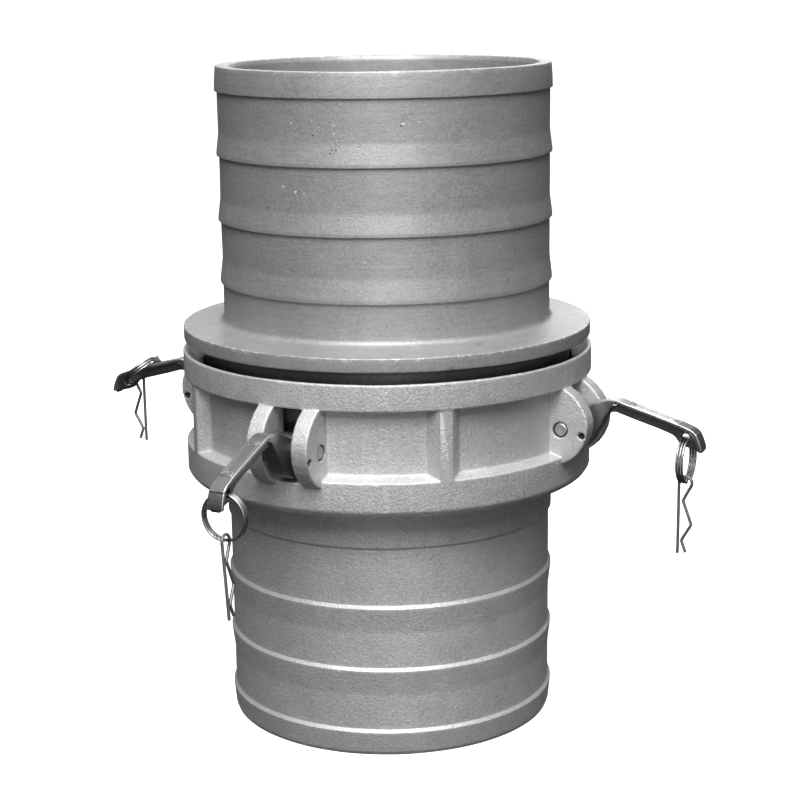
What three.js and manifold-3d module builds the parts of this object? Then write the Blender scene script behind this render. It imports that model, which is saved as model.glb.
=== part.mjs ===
// Camlock coupling, 10 inch: a male adapter with a hose shank, standing in a female coupler with a hose shank,
// held by four cam arms. Millimetres, +Z up along the flow axis, origin in the middle of the coupler's shank end.
// A lug's own frame has +X outwards along its radius, +Z up and +Y along its hinge pin.
import * as THREE from "three";
import { mergeVertices } from "three/addons/utils/BufferGeometryUtils.js";
import Module from "manifold-3d";

const wasm = await Module();
wasm.setup();

// ---------- driving dimensions ----------
const SEGMENTS = 48; // facets round the big turned shapes
const BORE_R = 118; // waterway
const SHANK_R = 127; // hose shank between the barbs
const BARB_R = 129; // hose shank at a barb

const HEIGHT = 510.3; // both fittings, mated

// coupler
const COUPLER_BARBS = [18.5, 67.5, 116.6]; // upward ledges
const BARB_TAPER = 18; // height of the cone behind a barb
const BARB_CHAMFER = 2.3;
const COLLAR_Z = 164; // lower edge of the collar under the bell
const BELL_BOTTOM = 194.5;
const BAND_R = 159.2;
const BAND_TOP = 221.9;
const RECESS_R = 149.6; // wall between band and ring
const RECESS_BOTTOM = 224.6;
const RING_R = 159.9;
const RING_BOTTOM = 274;
const RING_TOP = 294.2;
const SOCKET_R = 144; // bore that takes the male end
const SEAT_R = 146.8; // groove that holds the gasket
const SEAT_BOTTOM = 207;
const SEAT_TOP = 216;
const RIB_WIDTH = 9.4; // flat top of the ribs between the lugs
const RIB_FOOT = 27.2;

// gasket
const GASKET = { inner: 121.4, outer: 146.3, bottom: 207.4, top: 215.6 };

// adapter
const ADAPTER_END = 216; // end of the male half
const MALE_R = 143;
const FLANGE_R = 158.8;
const FLANGE_BOTTOM = 302.4;
const FLANGE_TOP = 312.5; // at the rim
const FLANGE_ROOT = 315.7; // at the shank
const ADAPTER_STEPS = [346.1, 394.1, 443.4, 491.9]; // downward ledges
const ADAPTER_CONE = 17; // height of the cone above a ledge

// lugs
const LUG_AZIMUTHS = { front: -26.94, right: 63.06, back: 153.06, left: -116.94 }; // from -Y towards +X
const RIB_AZIMUTHS = [-67.94, 15.06, 112.06, 195.06];
const PIVOT = { x: 156, z: 243.2 };
const EAR_IN = 11.8; // half the gap between the ears
const EAR_OUT = 25;
const EAR_OUTLINE = [
  [144.8, 216], [155.6, 216.4], [160.4, 218], [165.4, 221.2], [169.8, 225.4], [173.6, 231], [176.4, 237.6], [177.7, 244],
  [177.7, 249.2], [176.6, 254.4], [174, 260], [170.8, 264.8], [166.2, 269.8], [160.4, 273.9], [155.8, 275.8], [144.8, 277],
];
const PIN_R = 5;
const PIN_HOLE_R = 5.5;
const PIN_HALF = 24.2;
const CLIP_HOLE = { x: 172.8, z: 240, r: 2.1 };
const WINDOW = { half: EAR_IN, bottom: 219.5, top: 274.4 };

// cam arm, about its pivot
const CAM_HALF = 6.4;
const HANDLE_HALF = 6.4;
const WEB_HALF = 3.4;
const PLATE = 2.8; // thickness of the arm's top plate
const NOSE_R = 20.6; // the lobe that pulls the adapter down
const BACK_R = 12.4; // the side that faces the adapter when the arm is open
const GROOVE_R = 21.4; // groove in the adapter, swept about the pivot of a closed arm
const EYE = { x: 90, z: -2.5, r: 3.45 }; // hole for the pull ring
const TOP_LINE = [
  [19.3, 18], [24, 19.3], [27, 20.5], [30.3, 21.5], [33.8, 22], [37.5, 21.9], [41.3, 21], [47.2, 19.1], [55, 17], [69.7, 12.9],
  [80, 9.9], [87, 7.8], [91.8, 6.1], [95.2, 4.8], [97.6, 3.2], [99.3, 1.2], [101, -1.8], [102.6, -5.8], [103.6, -9.6], [103.6, -11.2],
];
const HOOK_TIP = [[102.9, -12.4], [101.3, -13]];
const WEB_LOWER = [
  [97.6, -10.6], [92.8, -9.5], [89.8, -8.8], [86.8, -7.4], [84.4, -5.1], [82.5, -2.5], [80.3, -0.9], [77.6, 0.1], [70, 2.7],
  [58.6, 5.8], [47.8, 8.8], [39.9, 11.2], [36, 12.3], [33.3, 12], [31, 11.4], [29.6, 10], [27.4, 6], [24.5, 0.6], [21.3, -4.4],
  [18.2, -10.4], [15.6, -13.6],
];
const LOBE_TOP = [
  [10.75, 13.2], [19.3, 18], [24, 19.3], [30, 19.9], [38, 18.2], [34, 16.2], [31.8, 13.6], [31, 11.4], [29.6, 10], [27.4, 6],
  [24.5, 0.6], [21.3, -4.4], [18.2, -10.4], [15.6, -13.6],
];
const ARM_DROOP = { front: 4.2, right: 0, back: 0, left: 0 }; // degrees the arm hangs lower
const ARM_SLIDE = { front: -1.6, right: 0, back: 0, left: 0 }; // place of the arm along its pin, between the ears

// pull ring and safety clip
const RING = { r: 16.7, wire: 2.05, turns: 3 };
const CLIP = { r: 5, wire: 2.2, drop: 0.9 };
const RING_SAG = 0.4; // a hanging ring rests on the bottom of its hole
const CLIP_TURN = { front: [180, 5], right: [0, 0], back: [0, 0], left: [0, 0] }; // about the vertical, then leaning along the hinge
const LEFT_RING_DIRECTION = 141; // the left ring lies over on its arm, degrees from outwards towards up
const LEFT_CLIP_ANGLE = 35; // place of the left clip round its ring, from the eye
const CLIP_PATH = [
  [-5.2, -54.4], [-5.1, -45], [-5.05, -34], [-5, -22], [-5, -11], [-5, -3], "arc", [4.6, -1.8], [2.1, -6.4], [-0.8, -12], [-1.4, -13.6],
  [-1.1, -15.2], [1.7, -22.6], [4.3, -29.7], [4.9, -31.4], [4.3, -33.1], [1.4, -38], [-1.5, -43.1], [-2.1, -44.8], [-1.7, -46.5], [0.8, -53.1],
];

// ---------- helpers ----------
const rad = THREE.MathUtils.degToRad;

function solid(geometry) {
  const g = geometry.index ? geometry : geometry.clone();
  for (const name of Object.keys(g.attributes)) if (name !== "position") g.deleteAttribute(name);
  const m = mergeVertices(g, 1e-4);
  const made = new wasm.Manifold(
    new wasm.Mesh({
      numProp: 3,
      vertProperties: new Float32Array(m.attributes.position.array),
      triVerts: new Uint32Array(m.index.array),
    }),
  );
  if (made.volume() < 0) throw new Error("a shape is inside out");
  return made;
}

function geometryOf(manifold) {
  const mesh = manifold.getMesh();
  const n = mesh.numProp;
  const v = new Float32Array(mesh.numVert * 3);
  for (let i = 0; i < mesh.numVert; i++) v.set(mesh.vertProperties.subarray(i * n, i * n + 3), i * 3);
  const g = new THREE.BufferGeometry();
  g.setAttribute("position", new THREE.BufferAttribute(v, 3));
  g.setIndex(new THREE.BufferAttribute(new Uint32Array(mesh.triVerts), 1));
  g.computeVertexNormals();
  return g;
}

// A closed ring of (radius, height) points, turned about Z. The points run up the outside and down the inside.
function turned(points, segments = SEGMENTS) {
  const closed = [...points, points[0]].map(([r, z]) => new THREE.Vector2(r, z));
  const g = new THREE.LatheGeometry(closed, segments);
  g.rotateX(Math.PI / 2);
  return g;
}

// An outline in the lug's X-Z plane, extruded along Y from y0 to y1.
function slab(points, y0, y1, holes = []) {
  const shape = new THREE.Shape(points.map(([x, z]) => new THREE.Vector2(x, z)));
  for (const h of holes) {
    const path = new THREE.Path();
    path.absarc(h.x, h.z, h.r, 0, 2 * Math.PI, true);
    shape.holes.push(path);
  }
  const g = new THREE.ExtrudeGeometry(shape, { depth: y1 - y0, bevelEnabled: false, curveSegments: 8 });
  g.rotateX(Math.PI / 2);
  g.translate(0, y1, 0);
  return g;
}

const rod = (r, y0, y1, x, z, sides = 20) => {
  const g = new THREE.CylinderGeometry(r, r, y1 - y0, sides);
  g.translate(x, (y0 + y1) / 2, z);
  return g;
};

const boxGeometry = (x0, x1, y0, y1, z0, z1) => {
  const g = new THREE.BoxGeometry(x1 - x0, y1 - y0, z1 - z0);
  g.translate((x0 + x1) / 2, (y0 + y1) / 2, (z0 + z1) / 2);
  return g;
};

const arc = (cx, cz, r, from, to, steps) =>
  Array.from({ length: steps + 1 }, (_, i) => {
    const a = rad(from + ((to - from) * i) / steps);
    return [cx + r * Math.cos(a), cz + r * Math.sin(a)];
  });

const turnLug = (azimuth) => rad(azimuth - 90); // turns +X to the lug's radius

// ---------- materials ----------
const castAluminium = new THREE.MeshStandardMaterial({ color: 0xb9bab8, roughness: 0.62, metalness: 0.55 });
const stainless = new THREE.MeshStandardMaterial({ color: 0x9a9a98, roughness: 0.32, metalness: 1 });
const brightSteel = new THREE.MeshStandardMaterial({ color: 0xc4c4c2, roughness: 0.2, metalness: 1 });
const dullSteel = new THREE.MeshStandardMaterial({ color: 0x8f8f8d, roughness: 0.42, metalness: 1 });
const blackRubber = new THREE.MeshStandardMaterial({ color: 0x161616, roughness: 0.85, metalness: 0 });

const object = new THREE.Group();
function add(parent, name, geometry, material) {
  const mesh = new THREE.Mesh(geometry, material);
  mesh.name = name;
  parent.add(mesh);
  return mesh;
}

// ---------- coupler body ----------
{
  const outside = [[BORE_R, 0], [SHANK_R - 1, 0], [SHANK_R, 1]];
  for (const z of COUPLER_BARBS) {
    outside.push([SHANK_R, Math.max(z - BARB_TAPER, 2.4)], [BARB_R, z - 1], [BARB_R, z], [SHANK_R, z + BARB_CHAMFER]);
  }
  outside.push(
    [SHANK_R, COLLAR_Z - 1.2], [BARB_R, COLLAR_Z], [BARB_R, BELL_BOTTOM - 4], [BARB_R + 4, BELL_BOTTOM],
    [BAND_R - 5, BELL_BOTTOM], [BAND_R - 1.5, BELL_BOTTOM + 1.2], [BAND_R, BELL_BOTTOM + 4], [BAND_R, BAND_TOP],
    [RECESS_R, RECESS_BOTTOM], [RECESS_R, RING_BOTTOM], [RING_R, RING_BOTTOM], [RING_R, RING_TOP - 1.4], [RING_R - 1.8, RING_TOP],
  );
  const inside = [
    [SOCKET_R, RING_TOP - 9.5], [SOCKET_R, SEAT_TOP], [SEAT_R, SEAT_TOP], [SEAT_R, SEAT_BOTTOM],
    [BORE_R + 3, SEAT_BOTTOM], [BORE_R, SEAT_BOTTOM - 3],
  ];
  let body = solid(turned([...outside, ...inside]));

  for (const azimuth of Object.values(LUG_AZIMUTHS)) {
    for (const side of [-1, 1]) {
      const y = [side * EAR_IN, side * EAR_OUT].sort((a, b) => a - b);
      const ear = slab(EAR_OUTLINE, y[0], y[1]);
      ear.rotateZ(turnLug(azimuth));
      body = body.add(solid(ear));
    }
  }
  for (const azimuth of RIB_AZIMUTHS) {
    // rib between two lugs: a bar across the recess with sloping sides
    const rib = new THREE.ExtrudeGeometry(
      new THREE.Shape(
        [[RECESS_R - 2.5, -RIB_FOOT / 2], [BAND_R, -RIB_WIDTH / 2], [BAND_R, RIB_WIDTH / 2], [RECESS_R - 2.5, RIB_FOOT / 2]].map(
          ([x, y]) => new THREE.Vector2(x, y),
        ),
      ),
      { depth: RING_BOTTOM + 1.5 - (BAND_TOP - 2), bevelEnabled: false },
    );
    rib.translate(0, 0, BAND_TOP - 2);
    rib.rotateZ(turnLug(azimuth));
    body = body.add(solid(rib));
  }
  for (const azimuth of Object.values(LUG_AZIMUTHS)) {
    const cuts = [
      boxGeometry(SOCKET_R - 8, 176, -WINDOW.half, WINDOW.half, WINDOW.bottom, WINDOW.top),
      rod(PIN_HOLE_R, -40, 40, PIVOT.x, PIVOT.z, 20),
      rod(CLIP_HOLE.r, -40, 40, CLIP_HOLE.x, CLIP_HOLE.z, 8),
    ];
    for (const cut of cuts) {
      cut.rotateZ(turnLug(azimuth));
      body = body.subtract(solid(cut));
    }
  }
  add(object, "coupler_body", geometryOf(body), castAluminium);
}

// ---------- gasket ----------
{
  const { inner, outer, bottom, top } = GASKET;
  add(object, "gasket", turned([[inner, bottom], [outer, bottom], [outer, top], [inner, top]]), blackRubber);
}

// ---------- adapter ----------
{
  const reach = Math.sqrt(GROOVE_R ** 2 - (PIVOT.x - MALE_R) ** 2); // half height of the cam groove
  const half = (Math.asin(reach / GROOVE_R) * 180) / Math.PI;
  const groove = arc(PIVOT.x, PIVOT.z, GROOVE_R, 180 + half, 180 - half, 8);
  const outside = [
    [BORE_R, ADAPTER_END], [MALE_R - 2, ADAPTER_END], [MALE_R, ADAPTER_END + 2], ...groove,
    [MALE_R, FLANGE_BOTTOM - 3], [MALE_R + 3, FLANGE_BOTTOM], [FLANGE_R - 1.4, FLANGE_BOTTOM],
    [FLANGE_R, FLANGE_BOTTOM + 1.4], [FLANGE_R, FLANGE_TOP], [130.8, FLANGE_ROOT], [SHANK_R, FLANGE_ROOT + 3.6],
  ];
  ADAPTER_STEPS.forEach((z, i) => {
    const cone = i === 3 ? HEIGHT - 2 : z + ADAPTER_CONE;
    outside.push([SHANK_R, z - 0.8], [BARB_R, z], [BARB_R, z + (i === 3 ? 6 : 2)]);
    if (i < 3) outside.push([SHANK_R, cone]);
  });
  outside.push([SHANK_R + 0.9, HEIGHT - 1], [SHANK_R, HEIGHT]);
  const inside = [[BORE_R + 1, HEIGHT], [BORE_R, HEIGHT - 1]];
  add(object, "adapter", turned([...outside, ...inside]), castAluminium);
}

// ---------- cam arms, pins, pull rings, safety clips ----------
function offsetBelow(line, d) {
  // the same line moved by d to its lower side
  return line.map(([x, z], i) => {
    const [ax, az] = line[Math.max(i - 1, 0)];
    const [bx, bz] = line[Math.min(i + 1, line.length - 1)];
    const l = Math.hypot(bx - ax, bz - az);
    return [x + ((bz - az) / l) * d, z - ((bx - ax) / l) * d];
  });
}

function armGeometry() {
  const back = arc(0, 0, BACK_R, 180, 60, 6);
  const nose = [
    ...arc(0, 0, NOSE_R, -49, -108, 6), [-10.6, -15.2], [-12.2, -10.4], [-12.4, -5.6],
  ];
  const profile = [...back, ...TOP_LINE, ...HOOK_TIP, ...WEB_LOWER, ...nose].reverse();
  const web = slab(profile, -WEB_HALF, WEB_HALF, [EYE]);
  const under = offsetBelow(TOP_LINE, PLATE);
  const plate = slab([...TOP_LINE, ...under.slice().reverse()].reverse(), -HANDLE_HALF, HANDLE_HALF);
  const lobe = slab([...back, ...LOBE_TOP, ...nose].reverse(), -CAM_HALF, CAM_HALF);
  return geometryOf(
    solid(web).add(solid(plate)).add(solid(lobe)).subtract(solid(rod(PIN_HOLE_R, -20, 20, 0, 0, 20))),
  );
}

const pinGeometry = () => {
  const c = 0.6;
  const g = new THREE.LatheGeometry(
    [[0, -PIN_HALF], [PIN_R - c, -PIN_HALF], [PIN_R, -PIN_HALF + c], [PIN_R, PIN_HALF - c], [PIN_R - c, PIN_HALF], [0, PIN_HALF]].map(
      ([r, y]) => new THREE.Vector2(r, y),
    ),
    20,
  );
  return g;
};

// The turns of a split ring lie against each other, so they make one flat-sided ring. Its axis is +X here.
function ringGeometry() {
  const w = (RING.wire * RING.turns) / 2;
  const t = RING.wire / 2;
  const c = 0.45;
  const g = turned(
    [
      [RING.r - t + c, -w], [RING.r + t - c, -w], [RING.r + t, -w + c], [RING.r + t, w - c], [RING.r + t - c, w], [RING.r - t + c, w],
      [RING.r - t, w - c], [RING.r - t, -w + c],
    ],
    28,
  );
  g.rotateY(Math.PI / 2);
  return g;
}

// Wire clip in the lug's X-Z plane: a straight leg, a round eye and a wavy leg, with the eye's centre at 0.
function clipGeometry() {
  const points = [];
  for (const p of CLIP_PATH) {
    if (p === "arc") points.push(...arc(0, 0, CLIP.r, 180, 0, 8));
    else points.push(p);
  }
  const curve = new THREE.CatmullRomCurve3(
    points.map(([x, z]) => new THREE.Vector3(x, 0, z)),
    false,
    "centripetal",
  );
  const section = new THREE.Shape();
  section.absarc(0, 0, CLIP.wire / 2, 0, 2 * Math.PI, false);
  const round = new THREE.Shape(section.getSpacedPoints(6).slice(0, 6));
  return new THREE.ExtrudeGeometry(round, { steps: 36, bevelEnabled: false, extrudePath: curve });
}

for (const [place, azimuth] of Object.entries(LUG_AZIMUTHS)) {
  const lug = new THREE.Group();
  lug.rotation.z = turnLug(azimuth);
  object.add(lug);
  const hinge = new THREE.Group();
  hinge.position.set(PIVOT.x, 0, PIVOT.z);
  lug.add(hinge);
  add(hinge, "pivot_pin_" + place, pinGeometry(), stainless);
  const arm = add(hinge, "cam_arm_" + place, armGeometry(), stainless);
  const droop = rad(ARM_DROOP[place]);
  arm.rotation.y = droop;
  arm.position.y = ARM_SLIDE[place];

  const eye = new THREE.Group();
  eye.position.set(EYE.x * Math.cos(droop) + EYE.z * Math.sin(droop), ARM_SLIDE[place], EYE.z * Math.cos(droop) - EYE.x * Math.sin(droop));
  hinge.add(eye);
  const ring = add(eye, "pull_ring_" + place, ringGeometry(), brightSteel);
  const clip = add(eye, "safety_clip_" + place, clipGeometry(), dullSteel);
  if (place === "left") {
    const d = rad(LEFT_RING_DIRECTION);
    ring.rotation.y = -(d + Math.PI / 2); // its downward radius turns to the direction d
    ring.position.set(RING.r * Math.cos(d), 0, RING.r * Math.sin(d));
    const a = rad(LEFT_CLIP_ANGLE);
    const along = RING.r * (1 - Math.cos(a));
    clip.position.set(along * Math.cos(d), -RING.r * Math.sin(a), along * Math.sin(d) - CLIP.drop / 2);
  } else {
    ring.position.set(0, 0, -RING_SAG - RING.r);
    clip.position.set(0, 0, -RING_SAG - 2 * RING.r - CLIP.drop);
    const [turn, lean] = CLIP_TURN[place];
    clip.rotation.set(rad(lean), 0, rad(turn));
  }
}

export default object;
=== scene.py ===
"""Looks of the camlock coupling: cast aluminium adapter and coupler, stainless cam arms, split rings and wire clips."""

import math

import bmesh
import bpy
import numpy as np
from mathutils import Matrix, Vector, noise
from mathutils.geometry import tessellate_polygon


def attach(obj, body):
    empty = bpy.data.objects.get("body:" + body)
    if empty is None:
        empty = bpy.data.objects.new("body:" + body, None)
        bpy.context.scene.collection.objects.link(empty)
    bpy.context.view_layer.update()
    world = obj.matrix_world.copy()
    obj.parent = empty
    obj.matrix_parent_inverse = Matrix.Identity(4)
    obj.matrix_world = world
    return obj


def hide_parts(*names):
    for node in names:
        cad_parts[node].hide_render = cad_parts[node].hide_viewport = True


MM = 0.001
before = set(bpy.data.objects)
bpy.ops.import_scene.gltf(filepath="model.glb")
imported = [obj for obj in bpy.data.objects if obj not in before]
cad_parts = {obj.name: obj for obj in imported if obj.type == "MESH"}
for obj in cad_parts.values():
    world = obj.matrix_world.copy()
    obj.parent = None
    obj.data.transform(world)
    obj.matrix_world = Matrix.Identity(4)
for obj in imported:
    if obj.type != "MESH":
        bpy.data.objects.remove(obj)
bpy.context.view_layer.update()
scene = bpy.context.scene

# ------------------------------------------------------------------ camera
pitch, roll, yaw = map(math.radians, (13.08, -0.76, 0.37))
fw = Vector((math.sin(yaw) * math.cos(pitch), math.cos(yaw) * math.cos(pitch), -math.sin(pitch)))
right = fw.cross(Vector((0, 0, 1))).normalized()
up = right.cross(fw)
r2 = right * math.cos(roll) + up * math.sin(roll)
u2 = -right * math.sin(roll) + up * math.cos(roll)
cam_data = bpy.data.cameras.new("camera")
cam = bpy.data.objects.new("camera", cam_data)
scene.collection.objects.link(cam)
m = Matrix.Identity(4)
for i in range(3):
    m[i][0], m[i][1], m[i][2] = r2[i], u2[i], -fw[i]
m[0][3], m[1][3], m[2][3] = 0.0, -1.4462, 0.58239
cam.matrix_world = m
cam_data.sensor_width = 36
cam_data.lens = 1871.9 * 36 / 800
cam_data.clip_start, cam_data.clip_end = 0.05, 300
scene.camera = cam

# ------------------------------------------------------------------ sizes, in millimetres, as in the CAD
BORE_R, SHANK_R, BARB_R, HEIGHT = 118.0, 127.0, 129.0, 510.3
LUGS = {"front": -26.94, "right": 63.06, "back": 153.06, "left": -116.94}
RIBS = [-67.94, 15.06, 112.06, 195.06]
PIVOT = (156.0, 243.2)
EYE = (90.0, -2.5)
DROOP = {"front": 4.2}
SLIDE = {"front": -1.6}
CLIP_TURN = {"front": (180, 4)}
EAR_IN, EAR_OUT = 11.8, 25.0
EAR = [
    (144.8, 215), (155.6, 216.4), (160.4, 218), (165.4, 221.2), (169.8, 225.4), (173.6, 231), (176.4, 237.6), (177.7, 244),
    (177.7, 249.2), (176.6, 254.4), (174, 260), (170.8, 264.8), (166.2, 269.8), (160.4, 273.9), (155.8, 275.8), (144.8, 277),
]
TOP_LINE = [
    (19.3, 18), (24, 19.3), (27, 20.5), (30.3, 21.5), (33.8, 22), (37.5, 21.9), (41.3, 21), (47.2, 19.1), (55, 17), (69.7, 12.9),
    (80, 9.9), (87, 7.8), (91.8, 6.1), (95.2, 4.8), (97.6, 3.2), (99.3, 1.2), (101, -1.8), (102.6, -5.8), (103.6, -9.6), (103.6, -11.2),
]
WEB_LOWER = [
    (97.6, -10.6), (92.8, -9.5), (89.8, -8.8), (86.8, -7.4), (84.4, -5.1), (82.5, -2.5), (80.3, -0.9), (77.6, 0.1), (70, 2.7),
    (58.6, 5.8), (47.8, 8.8), (39.9, 11.2), (36, 12.3), (33.3, 12), (31, 11.4), (29.6, 10), (27.4, 6), (24.5, 0.6), (21.3, -4.4),
    (18.2, -10.4), (15.6, -13.6),
]
LOBE_TOP = [
    (10.75, 13.2), (19.3, 18), (24, 19.3), (30, 19.9), (38, 18.2), (34, 16.2), (31.8, 13.6), (31, 11.4), (29.6, 10), (27.4, 6),
    (24.5, 0.6), (21.3, -4.4), (18.2, -10.4), (15.6, -13.6),
]
RING_SAG = 0.4
RING_R, RING_WIRE = 16.7, 2.04
CLIP_R, CLIP_WIRE, CLIP_DROP = 5.0, 2.4, 0.9
LEFT_DIR, LEFT_CLIP = 141.0, 35.0
CLIP_PATH = [
    (-5.2, -54.4), (-5.1, -45), (-5.05, -34), (-5, -22), (-5, -11), (-5, -3), "arc", (4.6, -1.8), (2.1, -6.4), (-0.8, -12), (-1.4, -13.6),
    (-1.1, -15.2), (1.7, -22.6), (4.3, -29.7), (4.9, -31.4), (4.3, -33.1), (1.4, -38), (-1.5, -43.1), (-2.1, -44.8), (-1.7, -46.5), (0.8, -53.1),
]


# ------------------------------------------------------------------ mesh helpers
def new_object(name, verts, faces, smooth=True):
    """verts in millimetres"""
    mesh = bpy.data.meshes.new(name)
    v = (np.asarray(verts, float) * MM).tolist()
    mesh.from_pydata(v, [], [list(map(int, f)) for f in faces])
    mesh.validate()
    mesh.update()
    if smooth:
        mesh.shade_smooth()
    o = bpy.data.objects.new(name, mesh)
    scene.collection.objects.link(o)
    return o


def rounded(points, longest=3.0, steps=5):
    """A closed outline of (x, y, corner radius) with its corners rounded, cut into pieces of at most longest."""
    n, out = len(points), []
    for i in range(n):
        p = np.array(points[i][:2], float)
        a = np.array(points[i - 1][:2], float) - p
        b = np.array(points[(i + 1) % n][:2], float) - p
        la, lb = np.linalg.norm(a), np.linalg.norm(b)
        a, b = a / la, b / lb
        f = points[i][2] if len(points[i]) > 2 else 0
        cos = float(np.clip(a @ b, -1, 1))
        ang = math.acos(cos)
        if f <= 0 or ang > math.pi - 0.02:
            out.append(p)
            continue
        t = min(f / math.tan(ang / 2), 0.48 * la, 0.48 * lb)
        r = t * math.tan(ang / 2)
        c = p + (a + b) / np.linalg.norm(a + b) * (r / math.sin(ang / 2))
        s, e = p + a * t - c, p + b * t - c
        a0, a1 = math.atan2(s[1], s[0]), math.atan2(e[1], e[0])
        d = (a1 - a0 + math.pi) % (2 * math.pi) - math.pi
        for k in range(steps + 1):
            w = a0 + d * k / steps
            out.append(c + r * np.array([math.cos(w), math.sin(w)]))
    dense = []
    for i in range(len(out)):
        p, q = out[i], out[(i + 1) % len(out)]
        k = max(1, int(math.ceil(np.linalg.norm(q - p) / longest)))
        dense += [p + (q - p) * j / k for j in range(k)]
    return np.array(dense)


def lathe(profile, segments):
    """(vertices, faces) of a closed (radius, height) outline turned about Z, counter-clockwise seen with the radius to the right."""
    n = len(profile)
    th = np.linspace(0, 2 * math.pi, segments, endpoint=False)
    r, z = profile[:, 0][:, None], profile[:, 1][:, None]
    v = np.stack([r * np.cos(th), r * np.sin(th), z + 0 * th], -1).reshape(-1, 3)
    i, j = np.meshgrid(np.arange(n), np.arange(segments), indexing="ij")
    i2, j2 = (i + 1) % n, (j + 1) % segments
    f = np.stack([i * segments + j, i * segments + j2, i2 * segments + j2, i2 * segments + j], -1).reshape(-1, 4)
    return v, f


def inset(outline, d):
    """A closed counter-clockwise outline moved inwards by d."""
    p = np.asarray(outline, float)
    a, b = p - np.roll(p, 1, 0), np.roll(p, -1, 0) - p
    na = np.stack([-a[:, 1], a[:, 0]], -1) / np.linalg.norm(a, axis=1)[:, None]
    nb = np.stack([-b[:, 1], b[:, 0]], -1) / np.linalg.norm(b, axis=1)[:, None]
    n = na + nb
    n /= np.maximum((n * (na + nb)).sum(1) ** 0.5, 1e-6)[:, None]
    k = 1 / np.maximum((n * na).sum(1), 0.5)
    return p + n * (d * k)[:, None]


def slab(outline, y0, y1, edge=0.8, holes=(), steps=3):
    """(vertices, faces) of an outline in the X-Z plane, thickened from y0 to y1 with rounded edges."""
    def ccw(p):
        p = np.asarray(p, float)
        area = 0.5 * np.sum(p[:, 0] * np.roll(p[:, 1], -1) - p[:, 1] * np.roll(p[:, 0], -1))
        return p if area > 0 else p[::-1]

    loops = [ccw(outline)] + [ccw(h)[::-1] for h in holes]
    levels = [(edge * (1 - math.sin(a)), y0 + edge * (1 - math.cos(a))) for a in np.linspace(0, math.pi / 2, steps + 1)]
    levels += [(d, y1 - (y - y0)) for d, y in reversed(levels)]
    verts, faces, start = [], [], []
    for loop in loops:
        base = len(verts)
        start.append(base)
        for d, y in levels:
            q = inset(loop, d)
            verts += [(x, y, z) for x, z in q]
        n = len(loop)
        for k in range(len(levels) - 1):
            for i in range(n):
                a, b = base + k * n + i, base + k * n + (i + 1) % n
                faces.append((a, a + n, b + n, b))
    for k, flip in ((0, False), (len(levels) - 1, True)):
        polys, index = [], []
        for loop, base in zip(loops, start):
            n = len(loop)
            ids = [base + k * n + i for i in range(n)]
            polys.append([Vector((verts[i][0], verts[i][2], 0)) for i in ids])
            index += ids
        for t in tessellate_polygon(polys):
            a, b, c = (index[i] for i in t)
            pa, pb, pc = (np.array((verts[i][0], verts[i][2])) for i in (a, b, c))
            positive = (pb - pa)[0] * (pc - pa)[1] - (pb - pa)[1] * (pc - pa)[0] > 0
            # at y0 the face looks to -Y: counter-clockwise in x-z seen from -Y
            faces.append((a, b, c) if positive != flip else (a, c, b))
    return np.array(verts), faces


def tube(path, radius, sides=12, caps=True):
    """(vertices, faces) of a round wire along a path, with domed ends."""
    p = np.asarray(path, float)
    t = np.gradient(p, axis=0)
    t /= np.linalg.norm(t, axis=1)[:, None]
    ref = np.array([0, 1.0, 0]) if abs(t[0][1]) < 0.9 else np.array([1.0, 0, 0])
    u = ref - t[0] * (ref @ t[0])
    u /= np.linalg.norm(u)
    rings, rad = [], []
    us = []
    for i in range(len(p)):
        if i:
            u = u - t[i] * (u @ t[i])
            u /= np.linalg.norm(u)
        us.append(u.copy())
    centres, radii, dirs, ups = [], [], [], []
    if caps:
        for a in (0.15, 0.5, 0.85):
            centres.append(p[0] - t[0] * radius * 0.7 * math.cos(a * math.pi / 2))
            radii.append(radius * math.sin(a * math.pi / 2))
            dirs.append(t[0]), ups.append(us[0])
    for i in range(len(p)):
        centres.append(p[i]), radii.append(radius), dirs.append(t[i]), ups.append(us[i])
    if caps:
        for a in (0.85, 0.5, 0.15):
            centres.append(p[-1] + t[-1] * radius * 0.7 * math.cos(a * math.pi / 2))
            radii.append(radius * math.sin(a * math.pi / 2))
            dirs.append(t[-1]), ups.append(us[-1])
    verts, faces = [], []
    for c, r, d, w in zip(centres, radii, dirs, ups):
        v = np.cross(d, w)
        for k in range(sides):
            a = 2 * math.pi * k / sides
            verts.append(c + r * (w * math.cos(a) + v * math.sin(a)))
    n = len(centres)
    for i in range(n - 1):
        for k in range(sides):
            a, b = i * sides + k, i * sides + (k + 1) % sides
            faces.append((a, b, b + sides, a + sides))
    faces.append(tuple(range(sides))[::-1])
    faces.append(tuple((n - 1) * sides + k for k in range(sides)))
    return np.array(verts), faces


def together(parts):
    verts, faces, base = [], [], 0
    for v, f in parts:
        verts.append(np.asarray(v, float))
        faces += [tuple(int(i) + base for i in q) for q in f]
        base += len(v)
    return np.concatenate(verts), faces


def turned_z(v, degrees):
    a = math.radians(degrees)
    c, s = math.cos(a), math.sin(a)
    v = np.asarray(v, float)
    return np.stack([c * v[:, 0] - s * v[:, 1], s * v[:, 0] + c * v[:, 1], v[:, 2]], -1)


def turned_y(v, degrees):
    """positive turns +Z towards +X"""
    a = math.radians(degrees)
    c, s = math.cos(a), math.sin(a)
    v = np.asarray(v, float)
    return np.stack([c * v[:, 0] + s * v[:, 2], v[:, 1], -s * v[:, 0] + c * v[:, 2]], -1)


def apply_modifiers(o):
    dg = bpy.context.evaluated_depsgraph_get()
    dg.update()
    mesh = bpy.data.meshes.new_from_object(o.evaluated_get(dg))
    old = o.data
    o.modifiers.clear()
    o.data = mesh
    bpy.data.meshes.remove(old)
    return o


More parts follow.
